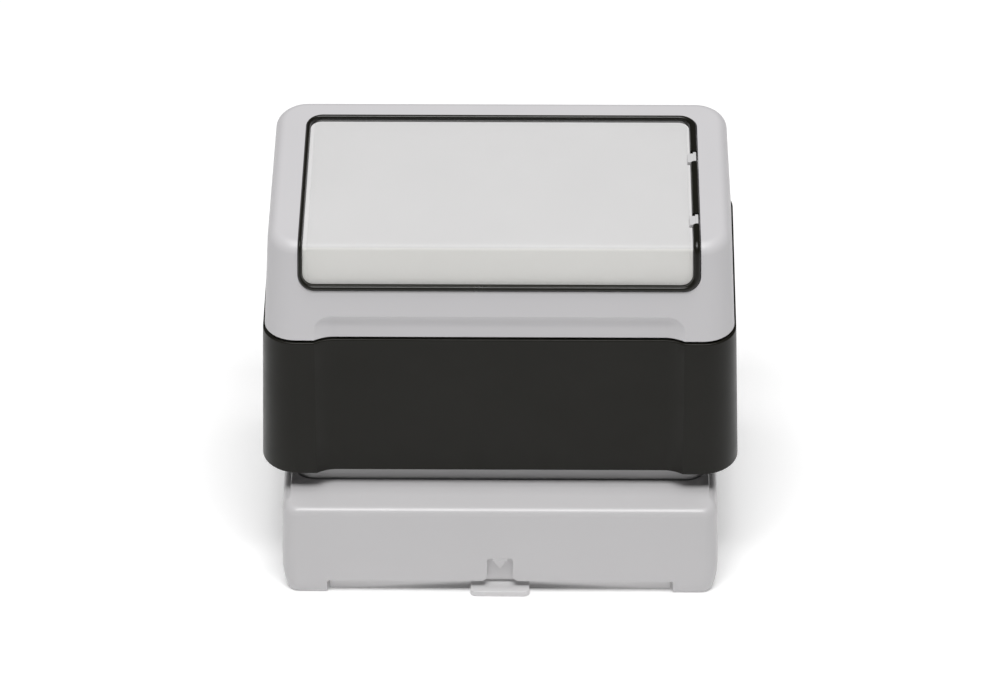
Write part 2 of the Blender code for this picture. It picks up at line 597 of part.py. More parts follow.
# the hinged cover turns about the line through its two barrels
hinge = Vector(panel_point(HINGE_X, sum(TAB_S) / 2, HINGE_H)) * MM
label_cover.data.transform(Matrix.Translation(-hinge))
label_cover.location = hinge
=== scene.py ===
import math

import bmesh
import bpy
from mathutils import Matrix, Vector


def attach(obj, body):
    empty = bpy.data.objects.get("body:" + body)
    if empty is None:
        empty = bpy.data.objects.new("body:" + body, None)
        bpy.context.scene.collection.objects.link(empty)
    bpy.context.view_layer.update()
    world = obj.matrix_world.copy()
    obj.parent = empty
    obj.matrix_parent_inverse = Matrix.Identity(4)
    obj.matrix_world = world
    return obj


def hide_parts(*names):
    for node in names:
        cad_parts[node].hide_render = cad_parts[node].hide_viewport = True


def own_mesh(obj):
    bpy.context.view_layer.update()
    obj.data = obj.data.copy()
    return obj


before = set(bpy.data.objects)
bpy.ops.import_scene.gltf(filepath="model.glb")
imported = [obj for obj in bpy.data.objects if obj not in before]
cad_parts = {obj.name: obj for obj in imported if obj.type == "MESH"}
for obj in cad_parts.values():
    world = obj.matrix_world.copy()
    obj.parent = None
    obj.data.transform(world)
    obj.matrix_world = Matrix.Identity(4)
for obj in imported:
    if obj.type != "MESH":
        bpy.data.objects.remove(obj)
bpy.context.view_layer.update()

MM = 0.001
scene = bpy.context.scene

# dimensions in millimetres, the same as the CAD
GAP = 0.3
CAP_X, CAP_Y, CAP_R = 33.9, 26.0, 2.4
LEDGE_Z, LEDGE_DROP = 17.4, 1.2
CAP_WALL = 1.5
SILL_Z = 2.4
FOOT = 6.8
BASE_SET_BACK = 1.1
TAB_HALF, TAB_THICK, TAB_REACH, TAB_R = 4.65, 1.0, 0.95, 0.8
NOTCH_HALF, NOTCH_TOP, NOTCH_DEPTH = 2.0, 6.9, 0.6

SKIRT_X, SKIRT_Y, SKIRT_R, SKIRT_WALL = 32.0, 19.2, 3.2, 1.2
SKIRT_Z0, SKIRT_Z1 = 4.8, 35.2
SKIRT_DECK = (17.6, 19.4)

GRIP_Z0, GRIP_Z1 = 20.2, 44.84
GRIP_TOP_X, GRIP_TOP_Y, GRIP_TOP_R = 36.5, 21.35, 5.1
GRIP_LOW_X, GRIP_LOW_Y, GRIP_LOW_R = 37.1, 22.0, 5.8
GRIP_IN_X, GRIP_IN_Y, GRIP_IN_R = 34.7, 19.5, 3.4
GRIP_DECK = (38.2, 40.2)
PANEL_HALF_IN, PANEL_HALF_OUT, PANEL_DEPTH = 25.4, 28.5, 1.05

COVER_LIP = 0.3
COVER_Z0 = GRIP_Z1 + 0.3
COVER_TOP_Z, COVER_BACK_Y = 62.2, 20.0
TOP_TILT = math.radians(3.0)
BEND_Y = -17.0
EDGE_R = 1.6
COVER_WALL = 2.0
TONGUE_DROP = 3.0
RECESS_TOP, RECESS_HEAD = 3.9, 2.3
FRONT_STEPS = 16

FRAME_HALF, FRAME_BACK_Y, FRAME_LENGTH = 30.62, 15.9, 40.0
FRAME_WIDE, FRAME_R, FRAME_RISE = 0.8, 2.6, 0.4
FRAME_LEFT, FRAME_RIGHT = 0.75, 1.3
FRAME_TAPER = 0.00032
POCKET_DEPTH = 1.3
TAB_S = (10.5, 26.3)
STRAP_HALF = 1.25
HINGE_ROOM = 0.7
HINGE_X, BARREL_R, HINGE_H = 30.05, 0.4, -0.2

COLUMN_AT, COLUMN_R, SCREW_R = (13.0, 10.0), 2.6, 1.0
SPRING_AT, SPRING_R, WIRE_R, SPRING_TURNS = (23.5, 11.0), 2.7, 0.4, 6.5
PIN_R = 1.5
PAD_X, PAD_Y, PAD_Z = 28.8, 16.6, (10.6, 14.9)


# ------------------------------------------------------------------ camera
CAM_ELEVATION = math.radians(36.0)
CAM_SIDE = math.radians(0.85)
CAM_ROLL = math.radians(-0.30)
CAM_DISTANCE = 1.0394
CAM_LENS = 237.4
CAM_TARGET = Vector((-0.00019, 0.0, 0.02825))

back = Vector((math.sin(CAM_SIDE) * math.cos(CAM_ELEVATION), -math.cos(CAM_SIDE) * math.cos(CAM_ELEVATION),
               math.sin(CAM_ELEVATION)))
right = Vector((math.cos(CAM_SIDE), math.sin(CAM_SIDE), 0.0))
up = back.cross(right).normalized()
facing = Matrix((right, up, back)).transposed() @ Matrix.Rotation(CAM_ROLL, 3, "Z")
cam_data = bpy.data.cameras.new("camera")
cam_data.lens = CAM_LENS
cam_data.sensor_width = 36.0
cam_data.clip_start = 0.01
cam_data.clip_end = 20.0
camera = bpy.data.objects.new("camera", cam_data)
camera.matrix_world = Matrix.Translation(CAM_TARGET + back * CAM_DISTANCE) @ facing.to_4x4()
scene.collection.objects.link(camera)
scene.camera = camera


# ------------------------------------------------------------------ mesh helpers
def finish_mesh(name, bm, mat, smooth=32.0):
    """Turn a mesh drawn in millimetres into a shaded object in metres."""
    bmesh.ops.remove_doubles(bm, verts=bm.verts, dist=0.0005)
    bmesh.ops.recalc_face_normals(bm, faces=bm.faces)
    bmesh.ops.scale(bm, vec=(MM, MM, MM), verts=bm.verts)
    mesh = bpy.data.meshes.new(name)
    bm.to_mesh(mesh)
    bm.free()
    obj = bpy.data.objects.new(name, mesh)
    scene.collection.objects.link(obj)
    mesh.materials.append(mat)
    mesh.shade_smooth()
    mesh.set_sharp_from_angle(angle=math.radians(smooth))
    return obj


def add_weighted(obj):
    step = obj.modifiers.new("weighted_normals", "WEIGHTED_NORMAL")
    step.keep_sharp = True
    step.mode = "FACE_AREA"
    step.weight = 60


def cut(obj, bm, operation="DIFFERENCE"):
    """Boolean with a helper mesh drawn in millimetres, applied to the mesh at once."""
    bmesh.ops.remove_doubles(bm, verts=bm.verts, dist=0.0005)
    bmesh.ops.recalc_face_normals(bm, faces=bm.faces)
    bmesh.ops.scale(bm, vec=(MM, MM, MM), verts=bm.verts)
    mesh = bpy.data.meshes.new("helper")
    bm.to_mesh(mesh)
    bm.free()
    helper = bpy.data.objects.new("helper", mesh)
    scene.collection.objects.link(helper)
    step = obj.modifiers.new("boolean", "BOOLEAN")
    step.operation = operation
    step.solver = "EXACT"
    step.object = helper
    bpy.context.view_layer.update()
    result = bpy.data.meshes.new_from_object(obj.evaluated_get(bpy.context.evaluated_depsgraph_get()))
    obj.modifiers.remove(step)
    old = obj.data
    result.name = old.name
    obj.data = result
    bpy.data.meshes.remove(old)
    bpy.data.objects.remove(helper, do_unlink=True)
    return obj


def reshade(obj, smooth=32.0):
    obj.data.shade_smooth()
    obj.data.set_sharp_from_angle(angle=math.radians(smooth))
    add_weighted(obj)


def rounded(x0, x1, y0, y1, r, n=10):
    points = []
    corners = ((x1 - r, y1 - r, 0), (x0 + r, y1 - r, 90), (x0 + r, y0 + r, 180), (x1 - r, y0 + r, 270))
    for cx, cy, start in corners:
        for i in range(n + 1):
            a = math.radians(start + 90 * i / n)
            points.append((cx + r * math.cos(a), cy + r * math.sin(a)))
    return points


def sized(half_x, half_y, r, n=10):
    return rounded(-half_x, half_x, -half_y, half_y, r, n)


def circle(cx, cy, r, n=32):
    return [(cx + r * math.cos(2 * math.pi * i / n), cy + r * math.sin(2 * math.pi * i / n))
            for i in range(n)]


def chain(levels, closed=False, bm=None):
    bm = bm or bmesh.new()
    rings = [[bm.verts.new((p[0], p[1], z if len(p) < 3 else p[2])) for p in outline]
             for z, outline in levels]
    pairs = list(zip(rings, rings[1:]))
    if closed:
        pairs.append((rings[-1], rings[0]))
    for low, high in pairs:
        for i in range(len(low)):
            j = (i + 1) % len(low)
            bm.faces.new((low[i], low[j], high[j], high[i]))
    if not closed:
        bm.faces.new(list(reversed(rings[0])))
        bm.faces.new(rings[-1])
    return bm


def block(x0, x1, y0, y1, z0, z1, bm=None):
    outline = [(x1, y1), (x0, y1), (x0, y0), (x1, y0)]
    return chain([(z0, outline), (z1, outline)], bm=bm)


def soft_block(x0, x1, y0, y1, z0, z1, r, segments=4, bm=None):
    """Block with every edge rounded by r."""
    target = bm or bmesh.new()
    solid = block(x0, x1, y0, y1, z0, z1)
    bmesh.ops.bevel(solid, geom=solid.edges[:], offset=r, segments=segments, profile=0.5, affect="EDGES")
    mesh = bpy.data.meshes.new("soft_block")
    solid.to_mesh(mesh)
    solid.free()
    target.from_mesh(mesh)
    bpy.data.meshes.remove(mesh)
    return target


def rod(cx, cy, r, z0, z1, n=32, bm=None):
    return chain([(z0, circle(cx, cy, r, n)), (z1, circle(cx, cy, r, n))], bm=bm)


def at_four(spot):
    return [(sx * spot[0], sy * spot[1]) for sy in (-1, 1) for sx in (-1, 1)]


def fillet(z, r, n, top):
    """(height, inset) pairs of a quarter-round edge of radius r that ends at height z."""
    steps = []
    for i in range(n + 1):
        a = math.pi / 2 * i / n
        if top:
            steps.append((z - r + r * math.sin(a), r - r * math.cos(a)))
        else:
            steps.append((z + r - r * math.cos(a), r - r * math.sin(a)))
    return steps


def smoothstep(t):
    t = min(max(t, 0.0), 1.0)
    return t * t * (3 - 2 * t)


def fronted(x0, x1, y0, y1, r, depth_at, n=10):
    """Rounded outline whose front (y0) side is set back by depth_at(|x|)."""
    points = []
    for cx, cy, start in ((x1 - r, y1 - r, 0), (x0 + r, y1 - r, 90), (x0 + r, y0 + r, 180)):
        for i in range(n + 1):
            a = math.radians(start + 90 * i / n)
            points.append((cx + r * math.cos(a), cy + r * math.sin(a)))
    for side in (-1, 1):
        for i in range(FRONT_STEPS + 1):
            t = i / FRONT_STEPS if side < 0 else 1 - i / FRONT_STEPS
            x = PANEL_HALF_OUT + 0.02 - (PANEL_HALF_OUT + 0.02 - PANEL_HALF_IN) * t ** 1.3
            points.append((side * x, y0 + depth_at(x)))
    for i in range(n + 1):
        a = math.radians(270 + 90 * i / n)
        points.append((x1 - r + r * math.cos(a), y0 + r + r * math.sin(a)))
    return points


def set_back(x, rise=-9.0):
    """Depth of the front panel at |x|, which ends in a step at RECESS_TOP above the parting."""
    side = min(max((PANEL_HALF_OUT - x) / (PANEL_HALF_OUT - PANEL_HALF_IN), 0.0), 1.0)
    head = min(max((RECESS_TOP - rise) / RECESS_HEAD, 0.0), 1.0)
    near = 1 - math.hypot(1 - side, 1 - head)
    if near <= 0:
        return 0.0
    return PANEL_DEPTH * (1 - (1 - near) ** 2.0)


# ------------------------------------------------------------------ materials
def coords(tree):
    node = tree.nodes.new("ShaderNodeTexCoord")
    return node.outputs["Object"]


def ramp(tree, source, low, high, p0=0.3, p1=0.7):
    node = tree.nodes.new("ShaderNodeValToRGB")
    node.color_ramp.elements[0].position = p0
    node.color_ramp.elements[0].color = low
    node.color_ramp.elements[1].position = p1
    node.color_ramp.elements[1].color = high
    tree.links.new(source, node.inputs["Fac"])
    return node.outputs["Color"]


def noise(tree, vector, scale, detail=3.0, rough=0.5):
    node = tree.nodes.new("ShaderNodeTexNoise")
    node.inputs["Scale"].default_value = scale
    node.inputs["Detail"].default_value = detail
    node.inputs["Roughness"].default_value = rough
    tree.links.new(vector, node.inputs["Vector"])
    return node.outputs["Fac"]


def gray(v, tint=(0, 0, 0)):
    return (v + tint[0], v + tint[1], v + tint[2], 1.0)


def moulded(name, color, spread, rough, rough_spread, grain=2600.0, bump=0.02, grain_depth=0.00002,
            specular=0.5):
    """Moulded plastic: a fine spark-eroded grain, faint flow marks and slightly uneven gloss."""
    mat = bpy.data.materials.new(name)
    mat.use_nodes = True
    tree = mat.node_tree
    shader = tree.nodes["Principled BSDF"]
    place = coords(tree)
    low = tuple(max(c - spread, 0.0) for c in color) + (1.0,)
    high = tuple(c + spread for c in color) + (1.0,)
    tree.links.new(ramp(tree, noise(tree, place, 55.0, 4.0), low, high), shader.inputs["Base Color"])
    gloss = ramp(tree, noise(tree, place, 240.0, 3.0), gray(rough - rough_spread), gray(rough + rough_spread))
    tree.links.new(gloss, shader.inputs["Roughness"])
    fine = noise(tree, place, grain, 2.0)
    wide = noise(tree, place, 120.0, 2.0)
    mix = tree.nodes.new("ShaderNodeMath")
    mix.operation = "MULTIPLY_ADD"
    mix.inputs[1].default_value = 0.35
    tree.links.new(wide, mix.inputs[0])
    tree.links.new(fine, mix.inputs[2])
    relief = tree.nodes.new("ShaderNodeBump")
    relief.inputs["Strength"].default_value = bump
    relief.inputs["Distance"].default_value = grain_depth
    tree.links.new(mix.outputs[0], relief.inputs["Height"])
    tree.links.new(relief.outputs["Normal"], shader.inputs["Normal"])
    shader.inputs["Specular IOR Level"].default_value = specular
    return mat


cover_grey = moulded("cover_grey", (0.60, 0.59, 0.603), 0.006, 0.4, 0.03, bump=0.12)
cap_grey = moulded("cap_grey", (0.585, 0.575, 0.583), 0.006, 0.32, 0.03, bump=0.1, specular=0.55)
# base plate grey, set lighter than the cap grey: part of that lift is painted light that brightens its shaded
# strip and thumb tab
base_grey_and_painted_light = moulded("base_grey_and_painted_light", (0.70, 0.69, 0.695), 0.006, 0.38, 0.03, bump=0.1)
skirt_grey = moulded("skirt_grey", (0.52, 0.515, 0.52), 0.006, 0.45, 0.04, bump=0.35)
holder_grey = moulded("holder_grey", (0.42, 0.42, 0.42), 0.006, 0.5, 0.04, bump=0.4)
body_black = moulded("body_black", (0.0078, 0.0072, 0.0048), 0.001, 0.36, 0.04, grain=1900.0, bump=0.25,
                     specular=0.2)
frame_black = moulded("frame_black", (0.009, 0.0085, 0.006), 0.0015, 0.3, 0.03, bump=0.15, specular=0.3)
paper_white = moulded("paper_white", (0.665, 0.66, 0.66), 0.01, 0.75, 0.04, grain=120.0, bump=0.015)
# paper for the label's front-facing faces: a yellow-green tint plus a lighter tone that is painted light,
# brightening the front slope below the bend
paper_front_tint_and_painted_light = moulded("paper_front_tint_and_painted_light", (0.775, 0.77, 0.742), 0.01, 0.75, 0.04, grain=120.0, bump=0.015)
steel_wire = moulded("steel_wire", (0.55, 0.55, 0.56), 0.03, 0.28, 0.06, bump=0.2)
steel_wire.node_tree.nodes["Principled BSDF"].inputs["Metallic"].default_value = 1.0
ink_felt = moulded("ink_felt", (0.02, 0.02, 0.05), 0.008, 0.95, 0.02, grain=700.0, bump=1.0)
die_sheet = moulded("die_sheet", (0.09, 0.075, 0.08), 0.01, 0.7, 0.05, grain=1500.0, bump=0.8)
clear_sheet = moulded("clear_sheet", (0.74, 0.735, 0.735), 0.005, 0.25, 0.02, bump=0.0)
strap_clear = moulded("strap_clear", (0.60, 0.595, 0.60), 0.01, 0.3, 0.03, bump=0.1)
clear_sheet.node_tree.nodes["Principled BSDF"].inputs["Alpha"].default_value = 0.08


# ------------------------------------------------------------------ cap shell
def uneven(ex, ey, r):
    return sized(CAP_X + ex, CAP_Y + ey, r)


in_x, in_y = CAP_X - CAP_WALL, CAP_Y - CAP_WALL
well = [SKIRT_X + GAP, SKIRT_Y + GAP, SKIRT_R + GAP]
levels = [(0.0, uneven(-1.05, -0.6, 1.6)), (0.12, uneven(-0.8, -0.35, 1.7)), (0.35, uneven(-0.6, -0.2, 1.8)),
          (0.8, uneven(-0.4, -0.1, 2.0)), (1.6, uneven(-0.15, -0.03, 2.2)), (2.8, uneven(0.08, 0.03, 2.4)),
          (4.5, uneven(0.2, 0.08, 2.5)), (7.0, uneven(0.2, 0.12, 2.5)), (10.0, uneven(0.12, 0.1, 2.45)),
          (12.5, uneven(0.03, 0.05, 2.4))]
crown = 1.2


def on_ledge(z, outline):
    """Outline lifted to the ledge, which falls away towards the front and back edges."""
    run = CAP_Y - 0.8 - well[1]
    return (z, [(x, y, z - LEDGE_DROP * smoothstep((abs(y) - well[1]) / run)) for x, y in outline])


for i in range(9):
    a = math.pi / 2 * i / 8
    inset = crown * (1 - math.cos(a))
    levels.append(on_ledge(LEDGE_Z - 0.05 - crown + crown * math.sin(a),
                           sized(CAP_X - inset, CAP_Y - inset, CAP_R - 0.5 * (1 - math.cos(a)))))
for step in (0.8, 0.6, 0.4, 0.2):
    outline = sized(well[0] + 0.1 + (CAP_X - crown - well[0] - 0.1) * step,
                    well[1] + 0.1 + (CAP_Y - crown - well[1] - 0.1) * step,
                    well[2] + (1.9 - well[2]) * step)
    levels.append(on_ledge(LEDGE_Z - 0.05 * step, outline))
levels += [(LEDGE_Z, sized(well[0] + 0.08, well[1] + 0.08, well[2] + 0.08)),
           (LEDGE_Z - 0.08, sized(*well)),
           (LEDGE_Z - CAP_WALL - LEDGE_DROP, sized(*well)),
           (LEDGE_Z - CAP_WALL - LEDGE_DROP, sized(in_x, in_y, 1.4)),
           (0.0, sized(in_x, in_y, 1.4))]
cap_shell = finish_mesh("cap_shell_moulding", chain(levels, closed=True), cap_grey)
feet = bmesh.new()
for sx, sy in at_four((1, 1)):
    xs = sorted((sx * (CAP_X - 1.4), sx * (CAP_X - FOOT + GAP)))
    ys = sorted((sy * (CAP_Y - 1.35), sy * (CAP_Y - FOOT + GAP)))
    block(xs[0], xs[1], ys[0], ys[1], 0.0, SILL_Z + 1.0, bm=feet)
cut(cap_shell, feet, "UNION")
span_x, span_y = CAP_X - FOOT, CAP_Y - FOOT
cut(cap_shell, soft_block(-span_x, span_x, -CAP_Y - 4, CAP_Y + 4, -3.0, SILL_Z, 0.45))
cut(cap_shell, soft_block(-CAP_X - 4, CAP_X + 4, -span_y, span_y, -3.0, SILL_Z - 0.001, 0.45))
flare = [(-NOTCH_HALF - 0.7, SILL_Z - 1), (NOTCH_HALF + 0.7, SILL_Z - 1), (NOTCH_HALF + 0.7, SILL_Z),
         (NOTCH_HALF + 0.25, SILL_Z + 0.35), (NOTCH_HALF, SILL_Z + 0.9), (NOTCH_HALF, NOTCH_TOP - 0.3),
         (NOTCH_HALF - 0.1, NOTCH_TOP - 0.1), (NOTCH_HALF - 0.3, NOTCH_TOP), (-NOTCH_HALF + 0.3, NOTCH_TOP),
         (-NOTCH_HALF + 0.1, NOTCH_TOP - 0.1), (-NOTCH_HALF, NOTCH_TOP - 0.3), (-NOTCH_HALF, SILL_Z + 0.9),
         (-NOTCH_HALF - 0.25, SILL_Z + 0.35), (-NOTCH_HALF - 0.7, SILL_Z)]
bm = bmesh.new()
walls = [[bm.verts.new((x, y, z)) for x, z in flare] for y in (-CAP_Y - 2, -CAP_Y + NOTCH_DEPTH)]
for i in range(len(flare)):
    j = (i + 1) % len(flare)
    bm.faces.new((walls[0][i], walls[0][j], walls[1][j], walls[1][i]))
bm.faces.new(walls[0])
bm.faces.new(walls[1])
cut(cap_shell, bm)
# pointer: a small wedge, proud at its top edge, that runs down to a tip on the notch floor
bm = bmesh.new()
floor_y = -CAP_Y + NOTCH_DEPTH + 0.1
sections = []
for half, y, z in ((1.15, -CAP_Y - 0.08, NOTCH_TOP + 0.12), (1.15, -CAP_Y - 0.28, NOTCH_TOP - 0.22),
                   (0.98, -CAP_Y - 0.2, NOTCH_TOP - 0.45), (0.05, -CAP_Y + 0.45, NOTCH_TOP - 2.35)):
    corners = ((-half, y, z), (half, y, z), (half + 0.12, floor_y, z), (-half - 0.12, floor_y, z))
    sections.append([bm.verts.new(p) for p in corners])
for low, high in zip(sections, sections[1:]):
    for i in range(4):
        j = (i + 1) % 4
        bm.faces.new((low[i], low[j], high[j], high[i]))
bm.faces.new(list(reversed(sections[0])))
bm.faces.new(sections[-1])
cut(cap_shell, bm, "UNION")
reshade(cap_shell, 30)
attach(cap_shell, "cap")
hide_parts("cap_shell")

# ------------------------------------------------------------------ cap base with its thumb tab
base_x, base_y = CAP_X - BASE_SET_BACK, CAP_Y - BASE_SET_BACK
bm = bmesh.new()
base_top = SILL_Z - 0.3
soft_block(-span_x + 0.3, span_x - 0.3, -base_y, base_y, 0.0, base_top, 0.12, 2, bm=bm)
base = finish_mesh("cap_base_plate", bm, base_grey_and_painted_light)
cut(base, soft_block(-base_x, base_x, -span_y + 0.3, span_y - 0.3, 0.0, base_top - 0.001, 0.12, 2), "UNION")
tab_front = -CAP_Y - TAB_REACH
tab = []
for i in range(7):
    a = math.radians(270 + 15 * i)
    tab.append((TAB_HALF - TAB_R + TAB_R * math.cos(a), tab_front + TAB_R + TAB_R * math.sin(a)))
tab = tab + [(TAB_HALF, -base_y + 1.0), (-TAB_HALF, -base_y + 1.0)] + [(-x, y) for x, y in reversed(tab)]


def inset_tab(amount):
    return [(x * (TAB_HALF - amount) / TAB_HALF, y + amount if y < -base_y else y) for x, y in tab]


ramp_front, ramp_back, ramp_foot = -base_y - 1.15, -base_y + 0.3, 0.3
ramp_profile = [(ramp_front, TAB_THICK - 0.06), (ramp_back, base_top), (ramp_back, ramp_foot),
                (ramp_front, ramp_foot)]
bm = bmesh.new()
ends = [[bm.verts.new((x, y, z)) for y, z in ramp_profile] for x in (-TAB_HALF + 0.08, TAB_HALF - 0.08)]
for i in range(4):
    j = (i + 1) % 4
    bm.faces.new((ends[0][i], ends[0][j], ends[1][j], ends[1][i]))
bm.faces.new(ends[0])
bm.faces.new(ends[1])
cut(base, bm, "UNION")
cut(base, chain([(0.0, inset_tab(0.15)), (0.15, tab), (TAB_THICK - 0.18, tab),
                 (TAB_THICK - 0.05, inset_tab(0.06)), (TAB_THICK, inset_tab(0.18))]), "UNION")
rim = chain([
    (base_top - 0.5, sized(SKIRT_X, SKIRT_Y, SKIRT_R)), (4.4, sized(SKIRT_X, SKIRT_Y, SKIRT_R)),
    (4.5, sized(SKIRT_X - 0.1, SKIRT_Y - 0.1, SKIRT_R)), (4.5, sized(SKIRT_X - 2.1, SKIRT_Y - 2.1, 1.4)),
    (4.4, sized(SKIRT_X - 2.2, SKIRT_Y - 2.2, 1.4)),
    (base_top - 0.5, sized(SKIRT_X - 2.2, SKIRT_Y - 2.2, 1.4)),
], closed=True)
cut(base, rim, "UNION")
reshade(base, 12)
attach(base, "cap")
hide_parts("cap_base")

# ------------------------------------------------------------------ skirt
so = sized(SKIRT_X, SKIRT_Y, SKIRT_R)
si = sized(SKIRT_X - SKIRT_WALL, SKIRT_Y - SKIRT_WALL, SKIRT_R - SKIRT_WALL)
bm = chain([
    (SKIRT_DECK[0], si), (SKIRT_Z0 + 0.25, si),
    (SKIRT_Z0, sized(SKIRT_X - 0.95, SKIRT_Y - 0.95, SKIRT_R - 0.95)),
    (SKIRT_Z0, sized(SKIRT_X - 0.25, SKIRT_Y - 0.25, SKIRT_R - 0.25)), (SKIRT_Z0 + 0.25, so),
    (SKIRT_Z1, so), (SKIRT_Z1, si), (SKIRT_DECK[1], si),
])
skirt = finish_mesh("sliding_skirt", bm, skirt_grey)
for x, y in at_four(COLUMN_AT):
    cut(skirt, rod(x, y, COLUMN_R + GAP, SKIRT_DECK[0] - 1, SKIRT_DECK[1] + 1))
for x, y in at_four(SPRING_AT):
    outer, inner = circle(x, y, SPRING_R + WIRE_R + 1.1), circle(x, y, SPRING_R + WIRE_R + GAP)
    low, high = SKIRT_DECK[1] - 0.4, SKIRT_DECK[1] + 1.6
    cut(skirt, chain([(low, outer), (high, outer), (high, inner), (low, inner)], closed=True), "UNION")
reshade(skirt, 30)
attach(skirt, "skirt")
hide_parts("skirt")


# ------------------------------------------------------------------ black grip body
def grip_outline(t, inset):
    """Outside of the black body at fraction t of its height, with the set-back front panel."""
    hx = GRIP_LOW_X + (GRIP_TOP_X - GRIP_LOW_X) * t - inset
    hy = GRIP_LOW_Y + (GRIP_TOP_Y - GRIP_LOW_Y) * t - inset
    r = GRIP_LOW_R + (GRIP_TOP_R - GRIP_LOW_R) * t - inset
    return fronted(-hx, hx, -hy, hy, r, set_back)


def plain(half_x, half_y, r):
    """Rounded outline with as many points as one with a front panel."""
    return fronted(-half_x, half_x, -half_y, half_y, r, lambda x: 0.0)


height = GRIP_Z1 - GRIP_Z0
grip_in = plain(GRIP_IN_X, GRIP_IN_Y, GRIP_IN_R)
levels = [(GRIP_DECK[0], grip_in), (GRIP_Z0 + 0.2, plain(GRIP_IN_X + 0.2, GRIP_IN_Y + 0.1, GRIP_IN_R)),
          (GRIP_Z0, plain(GRIP_IN_X + 0.4, GRIP_IN_Y + 0.3, GRIP_IN_R))]
levels += [(z, grip_outline(0.0, inset)) for z, inset in fillet(GRIP_Z0, 0.45, 5, False)]
levels += [(GRIP_Z0 + height * t, grip_outline(t, 0.0)) for t in (0.1, 0.3, 0.5, 0.7, 0.9)]
levels += [(z, grip_outline(1.0, inset)) for z, inset in fillet(GRIP_Z1, 0.22, 4, True)]
levels += [(GRIP_Z1, grip_in), (GRIP_DECK[1], grip_in)]
grip_body = finish_mesh("grip_casing", chain(levels), body_black)
for x, y in at_four(SPRING_AT):
    cut(grip_body, rod(x, y, PIN_R, GRIP_DECK[0] - 9.0, GRIP_DECK[0] + 0.5), "UNION")
for x, y in at_four(COLUMN_AT):
    cut(grip_body, rod(x, y, SCREW_R + GAP, GRIP_DECK[0] - 1, GRIP_DECK[1] + 1))
reshade(grip_body, 30)
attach(grip_body, "grip")
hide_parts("grip_body")

# ------------------------------------------------------------------ grey top cover
cover_x, cover_y = GRIP_TOP_X - COVER_LIP, GRIP_TOP_Y - COVER_LIP
bend_z = COVER_TOP_Z - (COVER_BACK_Y - BEND_Y) * math.tan(TOP_TILT)
front_lean = (BEND_Y + cover_y) / (bend_z - COVER_Z0)
front_angle = math.atan(front_lean)
side_lean = math.tan(math.radians(2.4))
back_lean = (cover_y - COVER_BACK_Y) / (COVER_TOP_Z - COVER_Z0)


def cover_outline(z, inset=0.0, r=4.9):
    """Outside of the grey cover at a height; the front panel fades out below the step line."""
    rise = z - COVER_Z0
    half = cover_x - side_lean * rise - inset
    front = -cover_y + front_lean * rise + inset
    rear = cover_y - back_lean * rise - inset
    points = fronted(-half, half, front, rear, r, lambda x: set_back(x, rise))
    narrow = 0.0006 * max(rise, 0.0) / 17.0
    return [(x * (1 - narrow * (y + 20) * 0.45), y) for x, y in points]


def slice_top(bm, drop):
    bmesh.ops.remove_doubles(bm, verts=bm.verts, dist=0.0005)
    gone = bmesh.ops.bisect_plane(bm, geom=bm.verts[:] + bm.edges[:] + bm.faces[:],
                                  plane_co=(0.0, BEND_Y, bend_z - drop),
                                  plane_no=(0.0, -math.sin(TOP_TILT), math.cos(TOP_TILT)),
                                  clear_outer=True, dist=0.0001)["geom_cut"]
    bmesh.ops.holes_fill(bm, edges=[g for g in gone if isinstance(g, bmesh.types.BMEdge)], sides=0)
    return bm


tongue = plain(GRIP_IN_X - GAP, GRIP_IN_Y - GAP, GRIP_IN_R - GAP)
STEP_LEVELS = [0.5, 1.2]
STEP_LEVELS += [RECESS_TOP - RECESS_HEAD + RECESS_HEAD * (1 - (1 - i / 12) ** 1.5) for i in range(13)]
STEP_LEVELS += [RECESS_TOP + 0.3]
levels = [(COVER_Z0 - TONGUE_DROP, tongue), (COVER_Z0, tongue)]
levels += [(z, cover_outline(COVER_Z0, inset)) for z, inset in fillet(COVER_Z0, 0.15, 3, False)]
levels += [(COVER_Z0 + d, cover_outline(COVER_Z0 + d)) for d in STEP_LEVELS]
levels += [(COVER_TOP_Z + 4, cover_outline(COVER_TOP_Z + 4))]
bm = slice_top(chain(levels), 0.0)
bmesh.ops.recalc_face_normals(bm, faces=bm.faces)


def on_top_rim(edge):
    tops = [f for f in edge.link_faces if f.normal.z > 0.99 and f.calc_center_median().z > COVER_Z0 + 5]
    return len(tops) == 1


bmesh.ops.bevel(bm, geom=[e for e in bm.edges if on_top_rim(e)], offset=EDGE_R, segments=9, profile=0.5,
                affect="EDGES", clamp_overlap=True)
top_cover = finish_mesh("top_casing", bm, cover_grey, 25)
bm = chain([(COVER_Z0 - TONGUE_DROP - 2, sized(GRIP_IN_X - 1.6, GRIP_IN_Y - 1.6, GRIP_IN_R - 1.4)),
            (COVER_Z0 + 0.8, sized(GRIP_IN_X - 1.6, GRIP_IN_Y - 1.6, GRIP_IN_R - 1.4)),
            (COVER_TOP_Z + 4, rounded(-cover_x + 4.2, cover_x - 4.2, BEND_Y + 4, COVER_BACK_Y - 3.2, 2.4))])
slice_top(bm, COVER_WALL + POCKET_DEPTH)
cut(top_cover, bm)

# ------------------------------------------------------------------ label panel surface
turn = math.pi / 2 - TOP_TILT - front_angle
flat_end = (FRAME_BACK_Y - BEND_Y) / math.cos(TOP_TILT) - EDGE_R * math.tan(turn / 2)
arc_end = flat_end + EDGE_R * turn


